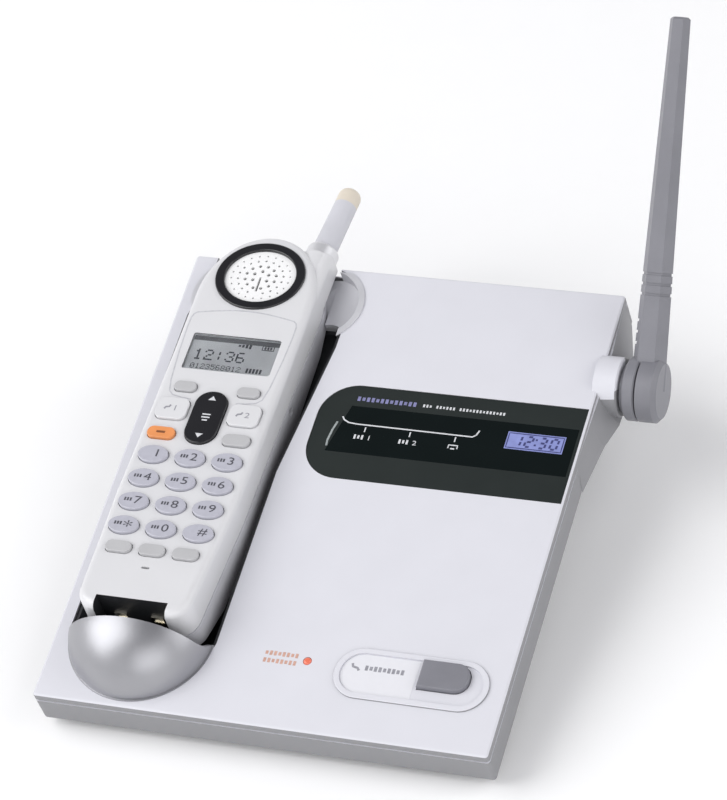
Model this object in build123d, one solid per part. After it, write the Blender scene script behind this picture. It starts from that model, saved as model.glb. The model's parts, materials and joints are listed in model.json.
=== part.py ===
from build123d import *
import os
from math import atan, cos, degrees, pi, radians, sin, sqrt

# Cordless telephone on its charging base: millimetres, +Z up, front towards -Y.
# The base is a flat slab whose top, the deck, slopes up to the rear. Base pieces are drawn in
# the deck frame: X to the right, Y up the slope from the front edge, Z out of the deck.
# Handset pieces are drawn in the handset frame: X across, Y from its bottom end, Z out of its face.

# ---- base: overall sizes -------------------------------------------------------------
deck_width = 180.0
deck_length = 208.0
deck_slope = 12.0
deck_front_height = 20.0
slab_thickness = 16.6
cover_depth = 8.2
base_wall = 2.2
plan_corner_radius = 1.4
deck_edge_radius = 1.0
edge_groove_depth = 0.7
edge_groove_width = 0.9
edge_groove_drop = 3.6
assembly_gap = 0.1

# ---- base: belly under the slab ------------------------------------------------------
belly_right = 70.0
belly_left = -88.0
belly_overlap = 3.0
belly_front = 8.0
belly_rear_gap = 18.0
belly_rear = deck_length - belly_rear_gap
foot_height = 1.5
foot_radius = 6.0
foot_recess = 0.8
foot_inset = 14.0

# ---- handset: overall sizes ----------------------------------------------------------
handset_length = 184.0
handset_width = 50.0
handset_foot_width = 45.0
handset_thickness = 26.0
handset_head_length = 30.0
handset_wall = 1.8
handset_foot_length = 55.0
handset_corner_radius = 9.0
face_edge_radius = 3.0
parting_groove_depth = 0.5
parting_groove_width = 0.8
shoulder_drop = 1.2
shoulder_inset = 0.05
shoulder_edge_radius = 3.0
face_curve_radius = 1500.0
parting_depth = 12.0
handset_x = -55.0
handset_y = 29.7
handset_height = 17.3
handset_tilt = -3.0

# ---- cradle --------------------------------------------------------------------------
cradle_gap = 4.6
channel_front = 26.6
channel_front_radius = 6.0
channel_depth = 16.0
liner_wall = 1.4
liner_drop = 1.2
channel_rib_inset = 6.0
channel_flare = 6.5
channel_flare_start = 110.0
channel_rear_gap = 22.0
channel_end = deck_length - channel_rear_gap
channel_corner_radius = 8.0
seat_gap = 0.6
rib_gap = 0.35
rib_width = 6.0
cup_radius = 28.6
cup_height = 22.0
cup_wall = 1.8
cup_centre_y = 31.7
cup_rim_lean = 5.7
cup_rim_bend = 14.0
cup_flange_width = 0.6
cup_flange_height = 0.5
seat_length = 70.0
seat_width = 35.0
seat_x = -49.5
seat_rear_gap = 18.0
seat_y = deck_length - seat_rear_gap
seat_rim_height = 0.6
seat_rim_width = 1.2
seat_depth = 12.5
seat_scoop_depth = 8.0

# ---- display window ------------------------------------------------------------------
window_left = -17.1
window_right = 88.9
window_bottom = 110.2
window_height = 43.3
window_corner_radius = 15.0
bezel_depth = 3.6
bezel_drop = 0.25
lens_bottom = 122.3
lens_height = 21.7
lens_left_bottom = -9.4
lens_left_top = -4.4
lens_right = 87.6
lens_thickness = 1.4
badge_x = 72.0
badge_y = 136.0
badge_width = 23.0
badge_height = 7.8
badge_thickness = 0.9
line_led_pitch = 18.1
line_led_first_x = 4.4
line_led_y = 126.2
line_led_radius = 1.5

# ---- charge light and handset locator button -----------------------------------------
charge_led_x = 11.8
charge_led_y = 29.7
charge_led_radius = 1.7
pill_length = 60.0
pill_width = 21.4
pill_x = 53.2
pill_y = 27.4
pill_height = 0.8
pill_lip_width = 2.2
button_length = 19.0
button_width = 11.8
button_x = 65.7
button_y = 30.0
button_rise = 2.2
button_travel = 1.2
button_clearance = 0.3
button_flange = 1.2

# ---- swivelling base antenna ---------------------------------------------------------
hub_rear_gap = 37.5
hub_y = deck_length - hub_rear_gap
hub_drop = 8.0
hub_radius = 11.6
hub_reach = 7.3
fairing_rear_gap = 2.0
fairing_length = 80.0
fairing_rear = deck_length - fairing_rear_gap
fairing_front = fairing_rear - fairing_length
fairing_top = 1.6
fairing_top_reach = 0.8
knuckle_radius = 12.4
knuckle_width = 15.0
knuckle_gap = 0.5
knuckle_neck_width = 1.7
knuckle_neck_radius = 9.5
knuckle_disc_width = 4.6
knuckle_groove = 0.7
pivot_radius = 3.0
pivot_clearance = 0.06
pivot_length = 21.0
mast_length = 142.0
mast_root_width = 11.8
mast_tip_width = 6.9
mast_lean = 41.0
mast_groove_heights = (36.0, 39.9, 43.8)
mast_groove_width = 1.1
mast_groove_depth = 0.45
mast_notch_heights = (17.1, 21.4, 25.8)
mast_notch_length = 3.6
mast_core_radius = 1.4

# ---- sockets, board and screws of the base -------------------------------------------
socket_width = 13.0
socket_height = 11.0
socket_depth = 14.0
socket_opening_width = 10.0
socket_opening_height = 6.8
socket_opening_depth = 11.0
socket_height_above_table = 22.0
line_socket_xs = (-6.0, 14.0)
dc_jack_x = 44.0
dc_jack_radius = 2.8
dc_jack_size = 10.0
board_width = 88.0
board_front_gap = 10.0
board_rear_gap = 32.0
board_length = belly_rear - belly_front - board_front_gap - board_rear_gap
board_thickness = 1.6
board_x = 30.0
board_y = belly_front + board_front_gap + board_length / 2
board_drop = 12.4
board_screw_inset = 5.0
board_screw_grip = 3.4
shield_height = 4.0
switch_size = 6.0
switch_gap = 0.2
screw_radius = 1.5
screw_head_radius = 3.0
screw_head_height = 1.8
screw_clearance = 0.3
post_radius = 3.6
base_screw_places = ((80.0, 12.0), (80.0, 100.0), (-78.0, 6.5), (2.0, deck_length - 6.5))

# ---- keys ----------------------------------------------------------------------------
key_column_pitch = 15.3
key_row_pitch = 11.5
first_key_row = 38.5
dial_key_width = 12.4
dial_key_height = 8.2
menu_key_width = 10.6
menu_key_height = 5.2
menu_key_pitch = 13.7
menu_key_y = 28.2
soft_key_width = 9.2
soft_key_height = 4.6
soft_key_x = 13.2
soft_key_y = 106.7
line_key_width = 13.0
line_key_height = 10.2
line_key_x = 15.0
line_key_y = 95.6
side_key_width = 11.4
side_key_height = 5.4
side_key_x = 15.6
side_key_y = 83.6
navigator_width = 13.2
navigator_height = 25.0
navigator_y = 92.9
line_key_radius = 3.0
round_end = 0.47
dial_key_rows = (
    ("key_star", "key_0", "key_hash"),
    ("key_7", "key_8", "key_9"),
    ("key_4", "key_5", "key_6"),
    ("key_1", "key_2", "key_3"),
)
navigator_radius = 6.2
key_rise = 1.3
key_travel = 0.7
key_clearance = 0.25
key_flange = 0.8
key_flange_thickness = 0.6
key_dome = 0.35

# ---- display, earpiece and other handset fittings ------------------------------------
lcd_width = 37.0
lcd_height = 17.6
lcd_y = 124.8
lcd_window_thickness = 1.2
lcd_module_thickness = 3.0
ring_half_width = 18.6
ring_half_height = 16.3
ring_band_x = 3.8
ring_band_y = 3.65
ring_rise = 0.9
ring_depth = 1.6
ring_y = 163.3
grille_thickness = 1.2
grille_hole_rings = ((3.4, 6, 0.75), (6.4, 12, 0.7), (9.4, 18, 0.5), (12.2, 22, 0.4))
grille_slot_length = 7.0
grille_slot_width = 0.9
speaker_radius = 12.0
speaker_thickness = 5.0
mic_y = 20.3
mic_slot_length = 3.4
mic_slot_width = 1.0
mic_radius = 3.0
mic_thickness = 3.0
stub_x = 18.0
stub_depth = 6.0
stub_splay = 4.0
stub_root = 180.0
stub_shoulder_radius = 6.9
stub_shoulder_start = 154.0
collar_radius = 6.6
collar_length = 5.0
sleeve_root_radius = 5.3
sleeve_tip_radius = 4.7
sleeve_length = 29.0
tip_length = 8.0
handset_board_width = 40.0
handset_board_length = 148.0
handset_board_start = 14.0
handset_board_depth = 8.4
handset_board_thickness = 1.2
mat_thickness = 1.6
notch_width = 29.0
notch_depth = 5.5
contact_width = 5.0
contact_height = 9.0
contact_thickness = 0.6
contact_spacing = 15.0
jack_y = 112.0
jack_depth = 16.0
jack_radius = 1.3
jack_size = 6.0
jack_length = 11.0
battery_width = 34.0
battery_length = 48.0
battery_cell_radius = 5.2
battery_start = 36.0
cover_width = 38.0
cover_length = 62.0
cover_start = 30.0
cover_thickness = 1.4
cover_travel = 18.0
cover_clearance = 0.3
cover_grip_ridges = 5
handset_screw_places = ((-20.2, 141.0), (20.2, 141.0), (-15.0, 20.0), (15.0, 20.0))
handset_post_radius = 2.5
handset_tube_radius = 3.4
handset_screw_radius = 1.2
handset_screw_head_radius = 2.4
handset_screw_seat = 16.0
handset_screw_tip = 4.0
battery_frame = 1.8

contact_z = 5.0
contact_nose = 0.7
contact_tip_gap = 0.35
badge_rise = 0.15
charge_led_rise = 0.5
dc_jack_bore_depth = 9.0
dc_pin_radius = 0.65
screw_thread_relief = 0.1
knuckle_chamfer = 1.8
knuckle_edge = 0.6
mast_tip_chamfer = 0.8
key_flange_drop = 0.15
stub_socket_depth = 14.0
grille_drop = 0.3
speaker_gap = 0.6
lcd_drop = 0.1
lcd_module_gap = 0.3
lcd_frame_gap = 0.1
mat_gap = 0.15
jack_recess = handset_wall + assembly_gap
jack_bore_depth = 9.0
battery_gap = 0.4

deck = Location((0, 0, deck_front_height), (deck_slope, 0, 0))
in_cradle = Location((handset_x, handset_y, handset_height), (handset_tilt, 0, 0))
cradle = deck * in_cradle


# ---- small helpers -------------------------------------------------------------------
def block(x0, x1, y0, y1, z0, z1):
    """Box between two corners."""
    size = Box(x1 - x0, y1 - y0, z1 - z0)
    return Pos((x0 + x1) / 2, (y0 + y1) / 2, (z0 + z1) / 2) * size


def upright(radius, height, x, y, z):
    """Cylinder along Z that starts at z."""
    return Pos(x, y, z + height / 2) * Cylinder(radius, height)


def across(radius, x0, x1, y, z):
    """Cylinder along X between x0 and x1."""
    return Pos((x0 + x1) / 2, y, z) * Rot(0, 90, 0) * Cylinder(radius, x1 - x0)


def prism(face, z0, z1):
    """A flat outline in the XY plane made solid from z0 to z1."""
    return extrude(Pos(0, 0, z0) * face, amount=z1 - z0)


def side_prism(face, half_width):
    """An outline drawn in the YZ plane made solid to both sides of it."""
    return extrude(face, amount=half_width, both=True)


def face_height(y):
    """Height of the handset's gently hollow face above its lowest line."""
    return (y - handset_length / 2) ** 2 / (2 * face_curve_radius)


def on_face(x, y):
    """Place on the handset's face, tilted to follow its curve."""
    slope = degrees(atan((y - handset_length / 2) / face_curve_radius))
    return Location((x, y, face_height(y)), (slope, 0, 0))


# ---- outlines ------------------------------------------------------------------------
def channel_outline(grow=0.0):
    """Plan of the handset's channel: straight on the left, flared at the rear right."""
    left = handset_x - handset_width / 2 - cradle_gap - grow
    right = handset_x + handset_width / 2 + cradle_gap + grow
    front = channel_front - grow
    rear = channel_end + grow
    corners = [
        (left, front),
        (right, front),
        (right, channel_flare_start),
        (right + channel_flare, channel_end - 2 * channel_corner_radius),
        (right + channel_flare, rear),
        (left, rear),
    ]
    outline = make_face(Polyline(*corners, close=True))
    rear_corners = outline.vertices().sort_by(Axis.Y)[-2:]
    outline = fillet(rear_corners, channel_corner_radius + grow)
    front_corners = outline.vertices().sort_by(Axis.Y)[:2]
    return fillet(front_corners, channel_front_radius + grow)


def seat_outline(grow=0.0):
    """Plan of the dished rest under the handset's head."""
    return Pos(seat_x, seat_y) * SlotOverall(seat_length + 2 * grow, seat_width + 2 * grow)


def window_outline(grow=0.0):
    """Plan of the display panel: round on the left, square at the deck's right edge."""
    width = window_right - window_left + 2 * grow
    height = window_height + 2 * grow
    centre_x = (window_left + window_right) / 2
    centre_y = window_bottom + window_height / 2
    outline = Pos(centre_x, centre_y) * Rectangle(width, height)
    left_corners = outline.vertices().sort_by(Axis.X)[:2]
    return fillet(left_corners, window_corner_radius + grow)


def lens_outline(grow=0.0):
    """Plan of the dark lens inside the display panel, slanted at its left end."""
    top = lens_bottom + lens_height
    corners = [
        (lens_left_bottom - grow, lens_bottom - grow),
        (lens_right + grow, lens_bottom - grow),
        (lens_right + grow, top + grow),
        (lens_left_top - grow, top + grow),
    ]
    return make_face(Polyline(*corners, close=True))


def button_outline(grow=0.0):
    """D-shaped plan of the locator button, round at its right end."""
    length = button_length + 2 * grow
    width = button_width + 2 * grow
    outline = Pos(button_x, button_y) * Rectangle(length, width)
    right_corners = outline.vertices().sort_by(Axis.X)[-2:]
    return fillet(right_corners, width * 0.45)


def handset_plan(inset=0.0):
    """Plan of the handset: nearly straight sides, a round head and a narrower foot."""
    half = handset_width / 2 - inset
    foot = handset_foot_width / 2 - inset
    shoulder = handset_length - handset_head_length
    corners = [
        (-foot, inset),
        (foot, inset),
        (half, handset_foot_length),
        (half, shoulder),
        (-half, shoulder),
        (-half, handset_foot_length),
    ]
    outline = make_face(Polyline(*corners, close=True))
    outline = fillet(outline.vertices().sort_by(Axis.Y)[:2], handset_corner_radius - inset)
    return outline + Pos(0, shoulder) * Ellipse(half, handset_head_length - inset)


def handset_profile(inset=0.0):
    """Side view of the handset in its YZ plane: hollow face, full back, slimmer head."""
    end_rise = face_height(0)
    back = -handset_thickness
    face_line = ThreePointArc((0, end_rise), (handset_length / 2, 0), (handset_length, end_rise))
    back_line = FilletPolyline(
        (handset_length, end_rise),
        (handset_length, back * 0.38),
        (handset_length - 38, back * 0.9),
        (handset_length - 76, back),
        (24, back),
        (0, back * 0.78),
        (0, end_rise),
        radius=6,
    )
    outline = make_face(face_line + back_line)
    outline = offset(outline, amount=-inset) if inset else outline
    return Plane.YZ * outline


def handset_solid(inset=0.0):
    """The handset's whole body, or its inner space when inset by the wall."""
    body = prism(handset_plan(inset), -handset_thickness * 1.5, handset_thickness)
    return body & side_prism(handset_profile(inset), handset_width)


def handset_room(gap):
    """Space that the handset needs in the cradle and on its way straight out."""
    profile = offset(handset_profile(), amount=gap)
    upper = Plane.YZ * Pos(handset_length / 2, handset_thickness) * Rectangle(
        handset_length + 2 * gap, 3 * handset_thickness
    )
    body = side_prism(profile + upper, handset_width / 2 + gap)
    reach = stub_shoulder_radius + gap
    body += block(
        stub_x - reach,
        stub_x + reach + sleeve_length * sin(radians(stub_splay)),
        stub_shoulder_start,
        stub_root + sleeve_length,
        -stub_depth - reach,
        3 * handset_thickness,
    )
    return in_cradle * body


# ---- base: covers --------------------------------------------------------------------
def slab(x_inset, z0, z1):
    """Plate with the deck's outline, or smaller by x_inset on every side."""
    outline = Pos(0, deck_length / 2) * RectangleRounded(
        deck_width - 2 * x_inset, deck_length - 2 * x_inset, plan_corner_radius
    )
    return prism(outline, z0, z1)


def fairing_solid():
    """Bulge of the base's right side that swells towards the antenna hinge."""
    side = deck_width / 2
    root = side - 4
    tip = side + hub_reach - 0.6
    brow = side + fairing_top_reach
    front = fairing_front
    rear = fairing_rear
    lower = [
        (root, front),
        (side, front),
        (side + hub_reach * 0.45, front + 22),
        (tip, hub_y - hub_radius),
        (tip, hub_y + hub_radius),
        (side, rear),
        (root, rear),
    ]
    upper = [
        (root, front + 0.2),
        (side - 0.2, front + 0.2),
        (brow - 0.3, front + 22),
        (brow, hub_y - hub_radius),
        (brow, hub_y + hub_radius),
        (side - 0.2, rear - 0.2),
        (root, rear - 0.2),
    ]
    sections = []
    for corners, height in ((upper, -fairing_top), (lower, -slab_thickness)):
        sections.append(Pos(0, 0, height) * make_face(Polyline(*corners, close=True)))
    return loft(sections, ruled=True)


def hub_solid():
    """Side boss of the antenna hinge with its fairing, outside the base's side wall."""
    side = deck_width / 2
    boss = across(hub_radius, side - base_wall, side + hub_reach, hub_y, -hub_drop)
    rim = boss.edges().filter_by(GeomType.CIRCLE).sort_by(Axis.X)[-1]
    solid = chamfer(rim, knuckle_edge) + fairing_solid()
    inner = side - base_wall
    solid -= block(0, inner, 0, deck_length, -2 * slab_thickness, slab_thickness)
    return solid - block(0, side + assembly_gap, 0, deck_length, -2 * slab_thickness, -cover_depth)


def base_screw_posts(radius, z0, z1):
    """One upright round for each screw of the base."""
    return [upright(radius, z1 - z0, x, y, z0) for x, y in base_screw_places]


def make_top_cover():
    """Silver upper shell of the base with every opening of the deck."""
    shell = slab(0, -cover_depth, 0)
    top_edges = shell.faces().sort_by(Axis.Z)[-1].edges()
    shell = fillet(top_edges, deck_edge_radius)
    shell -= slab(base_wall, -cover_depth, -base_wall)
    groove_top = -edge_groove_drop + edge_groove_width / 2
    groove_bottom = -edge_groove_drop - edge_groove_width / 2
    ring = slab(-1, groove_bottom, groove_top) - slab(edge_groove_depth, groove_bottom, groove_top)
    shell -= ring
    shell += hub_solid()
    pill = Pos(pill_x, pill_y) * SlotOverall(pill_length, pill_width)
    pill_inner = Pos(pill_x, pill_y) * SlotOverall(
        pill_length - 2 * pill_lip_width, pill_width - 2 * pill_lip_width
    )
    lip = prism(pill, -base_wall / 2, pill_height)
    lip = fillet(lip.faces().sort_by(Axis.Z)[-1].edges(), pill_height * 0.6)
    shell += lip - prism(pill_inner, 0, pill_height)
    shell += base_screw_posts(post_radius, -cover_depth - 2, -base_wall / 2)
    shell -= base_screw_posts(screw_radius, -cover_depth - 2, -base_wall)
    shell -= prism(channel_outline(assembly_gap), -cover_depth - 3, 1)
    shell -= prism(seat_outline(assembly_gap), -cover_depth - 3, 1)
    shell -= prism(window_outline(assembly_gap), -cover_depth, 1)
    shell -= prism(button_outline(button_clearance), -cover_depth, 2)
    shell -= upright(charge_led_radius, 2 * base_wall, charge_led_x, charge_led_y, -base_wall * 1.5)
    shell -= handset_room(seat_gap)
    reach = deck_width / 2 + hub_reach
    return shell - across(pivot_radius, reach - pivot_length, reach + 1, hub_y, -hub_drop)


def belly_profile(inset):
    """Side outline of the belly: level underneath, upright behind."""
    slope = radians(deck_slope)
    top = -slab_thickness + belly_overlap
    front = belly_front + inset
    rear = belly_rear - inset

    def level(y):
        return (foot_height + inset - deck_front_height - y * sin(slope)) / cos(slope)

    top_rear = rear + (top - level(rear)) * sin(slope) / cos(slope)
    corners = [(front, top), (front, level(front)), (rear, level(rear)), (top_rear, top)]
    return make_face(Polyline(*corners, close=True))


def belly_solid(inset):
    """Belly between its two side walls, or its hollow when inset by the wall."""
    profile = Plane.YZ * belly_profile(inset)
    solid = extrude(profile, amount=belly_right - belly_left - 2 * inset)
    return Pos(belly_left + inset, 0, 0) * solid


def rear_wall_location():
    """Middle of the belly's upright rear wall at socket height, looking out of it."""
    slope = radians(deck_slope)
    rise_to_deck = deck_front_height + belly_rear * sin(slope)
    level = (foot_height - rise_to_deck) / cos(slope)
    rear = belly_rear * cos(slope) - level * sin(slope)
    return Location((0, rear, socket_height_above_table))


def socket_blocks(grow, depth):
    """Outer blocks of the two line sockets and the power socket, in the table frame."""
    wall = rear_wall_location().position
    blocks = []
    for x in line_socket_xs:
        half = socket_width / 2 + grow
        tall = socket_height / 2 + grow
        blocks.append(block(x - half, x + half, wall.Y - depth, wall.Y + 1, wall.Z - tall, wall.Z + tall))
    return blocks


def power_block(grow, depth):
    """Outer block of the power socket, in the table frame."""
    wall = rear_wall_location().position
    half = dc_jack_size / 2 + grow
    x = dc_jack_x
    return block(x - half, x + half, wall.Y - depth, wall.Y + 1, wall.Z - half, wall.Z + half)


def make_bottom_cover():
    """Dark lower shell: the slab's lower band, the belly and the antenna hub."""
    top = -cover_depth
    side = deck_width / 2
    shell = slab(0, -slab_thickness, top)
    shell = fillet(shell.faces().sort_by(Axis.Z)[0].edges(), 1.0)
    shell += belly_solid(0) - block(-side, side, 0, deck_length, top, 0)
    hollow = slab(base_wall, -slab_thickness + base_wall, 0) + belly_solid(base_wall)
    shell = shell - hollow
    shell -= across(pivot_radius + assembly_gap, side - 2 * base_wall, side + 1, hub_y, -hub_drop)
    for x, y in base_screw_places:
        shell -= upright(screw_radius + screw_clearance, slab_thickness * 4, x, y, -slab_thickness * 4)
        shell -= upright(screw_head_radius + screw_clearance, screw_head_height, x, y, -slab_thickness)
    outer = slab(0, -slab_thickness, top) + belly_solid(0)
    for x, y in board_screw_places():
        post = upright(post_radius, belly_rear, x, y, -board_drop - belly_rear)
        shell += post & outer
        shell -= upright(screw_radius, board_screw_grip, x, y, -board_drop - board_screw_grip)
    for x, y in foot_places():
        shell -= deck.inverse() * upright(foot_radius, foot_height + foot_recess, x, y, 0)
    shell -= [deck.inverse() * piece for piece in socket_blocks(assembly_gap, base_wall * 2)]
    shell -= deck.inverse() * power_block(assembly_gap, base_wall * 2)
    return shell


# ---- base: cradle --------------------------------------------------------------------
def make_cradle_liner():
    """Dark trough that the handset lies in, with two ribs under its back."""
    bottom = -channel_depth - liner_wall
    liner = prism(channel_outline(), bottom, -liner_drop)
    liner -= prism(channel_outline(-liner_wall), -channel_depth, 1)
    liner -= prism(seat_outline(assembly_gap), -seat_depth - assembly_gap, 1)
    half = handset_width / 2 - channel_rib_inset
    for y in (channel_front + 28, channel_end - 52):
        liner += block(handset_x - half, handset_x + half, y, y + rib_width, -channel_depth, 0)
    half = notch_width / 2 - 2
    inner_front = channel_front + liner_wall
    left, right = handset_x - half, handset_x + half
    liner += block(left, right, channel_front, inner_front, bottom + 4, contact_height)
    liner -= handset_room(rib_gap)
    for x in contact_places():
        low, high = contact_z - 0.5, contact_z + 0.5
        liner -= block(x - 2.5, x + 2.5, channel_front - 1, inner_front + 1, low, high)
    return liner


def make_cradle_rest():
    """Silver dished seat behind the channel, hollowed to the handset's head."""
    seat = prism(seat_outline(), -seat_depth, 0)
    seat += prism(seat_outline(seat_rim_width), 0, seat_rim_height)
    mouth = prism(seat_outline(-seat_rim_width), -seat_depth, seat_rim_height + 1)
    bowl = Pos(seat_x, seat_y) * Rot(180, 0, 0) * dome(seat_length / 2, seat_scoop_depth)
    seat -= mouth & (bowl + prism(seat_outline(), 0, seat_rim_height + 1))
    seat -= prism(channel_outline(assembly_gap), -seat_depth - 1, -seat_scoop_depth)
    seat -= prism(channel_outline(-liner_wall), -seat_depth - 1, seat_rim_height + 1)
    seat -= handset_room(seat_gap)
    beyond = block(-deck_width, deck_width, deck_length - base_wall, deck_length * 2, -slab_thickness, 2)
    seat -= beyond
    return seat.solids().sort_by(SortBy.VOLUME)[-1]


def dome(radius, height):
    """Half of a flattened ball that stands on the deck."""
    quarter = Ellipse(radius, height) & Pos(radius / 2, height / 2) * Rectangle(radius, height)
    return revolve(Plane.XZ * quarter, Axis.Z)


def make_cradle_cup():
    """Silver domed cup in front of the handset's bottom end, open to the rear."""
    shell = dome(cup_radius, cup_height) - dome(cup_radius - cup_wall, cup_height - cup_wall)
    flange = upright(cup_radius + cup_flange_width, cup_flange_height, 0, 0, 0)
    shell += flange - upright(cup_radius - cup_wall, cup_flange_height, 0, 0, 0)
    lean = -cup_rim_lean
    middle = (0.75 * lean, cup_rim_bend * 0.35)
    rim = Spline((0, -1), middle, (lean, cup_rim_bend), tangents=((-0.5, 1), (0, 1)))
    behind = Polyline(
        (lean, cup_rim_bend),
        (lean, 2 * cup_height),
        (2 * cup_radius, 2 * cup_height),
        (2 * cup_radius, -1),
        (0, -1),
    )
    shell -= side_prism(Plane.YZ * make_face(rim + behind), 2 * cup_radius)
    return Pos(handset_x, cup_centre_y) * shell


def contact_places():
    """The two X positions of the charging contacts."""
    return [handset_x - contact_spacing / 2, handset_x + contact_spacing / 2]


def make_base_charge_contacts():
    """Two sprung metal strips that reach into the notch at the handset's bottom end."""
    plate_foot = Pos(0, notch_depth - contact_thickness, contact_z - handset_height - contact_height / 2)
    tip = (in_cradle * plate_foot).position.Y - contact_tip_gap - contact_nose
    pieces = []
    for x in contact_places():
        strip = block(x - 2, x + 2, channel_front - 5, tip, contact_z - 0.3, contact_z + 0.3)
        nose = across(contact_nose, x - 2, x + 2, tip, contact_z)
        pieces.append(strip + nose)
    return Compound(pieces)


# ---- base: display, lights and button ------------------------------------------------
def make_display_bezel():
    """Dark panel flush with the deck, with a pocket for the lens."""
    bezel = prism(window_outline(), -bezel_depth, -bezel_drop)
    bezel -= prism(lens_outline(), -bezel_drop - lens_thickness, 1)
    for x in line_led_xs():
        bezel -= upright(line_led_radius + assembly_gap, bezel_depth, x, line_led_y, -bezel_depth)
    return bezel


def badge_block(z0, z1):
    """Rectangle of the lit badge."""
    half_width = badge_width / 2
    half_height = badge_height / 2
    return block(
        badge_x - half_width, badge_x + half_width, badge_y - half_height, badge_y + half_height, z0, z1
    )


def make_display_lens():
    """Smoked lens with a window for the badge."""
    lens = prism(lens_outline(-assembly_gap / 2), -bezel_drop - lens_thickness, -bezel_drop)
    return lens - badge_block(-bezel_drop - badge_thickness, 1)


def make_display_badge():
    """Plain lit plate that stands a hair above the lens."""
    return badge_block(-bezel_drop - badge_thickness, -bezel_drop + badge_rise)


def line_led_xs():
    """X positions of the three line lights."""
    return [line_led_first_x + i * line_led_pitch for i in range(3)]


def make_line_leds():
    """Three round lights in the bezel, behind the lens."""
    top = -bezel_drop - lens_thickness
    height = top - board_top()
    return Compound([upright(line_led_radius, height, x, line_led_y, board_top()) for x in line_led_xs()])


def make_charge_led():
    """Domed charging light that stands a little out of the deck."""
    radius = charge_led_radius - assembly_gap / 2
    lamp = upright(radius, charge_led_rise - board_top(), charge_led_x, charge_led_y, board_top())
    return fillet(lamp.faces().sort_by(Axis.Z)[-1].edges(), radius * 0.6)


def button_flange_top():
    """Height of the button's flange, just under the top cover."""
    return -base_wall - assembly_gap


def make_locator_button():
    """D-shaped button in the pill-shaped surround, held in by a flange."""
    flange_top = button_flange_top()
    cap = prism(button_outline(), flange_top, button_rise)
    cap = fillet(cap.faces().sort_by(Axis.Z)[-1].edges(), 0.7)
    return cap + prism(button_outline(button_flange), flange_top - button_flange, flange_top)


# ---- base: inside --------------------------------------------------------------------
def board_top():
    """Height of the main board's upper face."""
    return -board_drop + board_thickness


def board_screw_places():
    """Four corners of the main board, inset."""
    half_x = board_width / 2 - board_screw_inset
    half_y = board_length / 2 - board_screw_inset
    return [(board_x + i * half_x, board_y + j * half_y) for i in (-1, 1) for j in (-1, 1)]


def make_base_main_board():
    """Circuit board with a shield can, two chips and the button's switch."""
    half_x = board_width / 2
    half_y = board_length / 2
    top = board_top()
    board = block(board_x - half_x, board_x + half_x, board_y - half_y, board_y + half_y, -board_drop, top)
    for x, y in board_screw_places():
        hole = screw_radius + screw_clearance
        board -= upright(hole, board_thickness * 3, x, y, -board_drop - board_thickness)
    board += block(board_x + 2, board_x + 36, board_y - 18, board_y + 12, top, top + shield_height)
    board += block(board_x - 34, board_x - 18, board_y - 12, board_y + 4, top, top + 1.6)
    board += block(board_x - 34, board_x - 22, board_y - 40, board_y - 28, top, top + 1.6)
    half = switch_size / 2
    switch_top = button_flange_top() - button_flange - button_travel - switch_gap
    board += block(
        button_x - half, button_x + half, button_y - half, button_y + half, top, switch_top
    )
    return board


def screw(x, y, head_bottom, length):
    """Pan-head screw driven upwards; its head's underside faces the table."""
    head = upright(screw_head_radius, screw_head_height, x, y, head_bottom)
    shank = upright(screw_radius - screw_thread_relief, length, x, y, head_bottom)
    return head + shank


def make_base_screws():
    """Four case screws and four board screws."""
    case_length = slab_thickness - base_wall - 1
    case = [screw(x, y, -slab_thickness, case_length) for x, y in base_screw_places]
    board = []
    for x, y in board_screw_places():
        head = upright(screw_head_radius, screw_head_height, x, y, board_top())
        length = board_thickness + board_screw_grip
        board.append(head + upright(screw_radius - screw_thread_relief, length, x, y, board_top() - length))
    return Compound(case + board)


def make_line_sockets():
    """Two modular telephone sockets in the rear wall, in the table frame."""
    wall = rear_wall_location().position
    half = socket_opening_width / 2
    tall = socket_opening_height / 2
    pieces = []
    for x, outer in zip(line_socket_xs, socket_blocks(0, socket_depth)):
        back = wall.Y - socket_opening_depth
        outer -= block(x - half, x + half, back, wall.Y + 2, wall.Z - tall, wall.Z + tall)
        outer -= block(x - 20, x + 20, wall.Y, wall.Y + 2, 0, 2 * wall.Z)
        pieces.append(outer)
    return Compound(pieces)


def make_dc_jack():
    """Power socket: a round bore with a centre pin, in the table frame."""
    wall = rear_wall_location().position
    outer = power_block(0, socket_depth)
    outer -= block(dc_jack_x - 20, dc_jack_x + 20, wall.Y, wall.Y + 2, 0, 2 * wall.Z)
    mouth = Location((dc_jack_x, wall.Y - dc_jack_bore_depth / 2, wall.Z), (90, 0, 0))
    outer -= mouth * Cylinder(dc_jack_radius, dc_jack_bore_depth)
    outer += mouth * Cylinder(dc_pin_radius, dc_jack_bore_depth)
    return outer


def foot_places():
    """Four places on the level underside of the belly, in the table frame."""
    front = foot_inset + belly_front
    rear = rear_wall_location().position.Y - foot_inset
    left = belly_left + foot_inset
    right = belly_right - foot_inset
    return [(x, y) for x in (left, right) for y in (front, rear)]


def make_rubber_feet():
    """Four round feet let into the belly."""
    return Compound([upright(foot_radius, foot_height + foot_recess, x, y, 0) for x, y in foot_places()])


# ---- base: antenna -------------------------------------------------------------------
def hub_location():
    """Axis of the antenna hinge, in the deck frame."""
    return Location((deck_width / 2 + hub_reach, hub_y, -hub_drop))


def mast_radius(height):
    """Corner radius of the six-sided mast at a height above the hinge."""
    root = mast_root_width / sqrt(3)
    tip = mast_tip_width / sqrt(3)
    return root + (tip - root) * height / mast_length


def make_antenna_pivot():
    """Steel pin of the hinge, fixed in the hub."""
    inside = hub_reach + base_wall
    return across(pivot_radius, -inside, pivot_length - inside, 0, 0)


def mast_centre():
    """How far the mast's axis stands out from the hub's face."""
    return knuckle_gap + knuckle_width * 0.573


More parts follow.
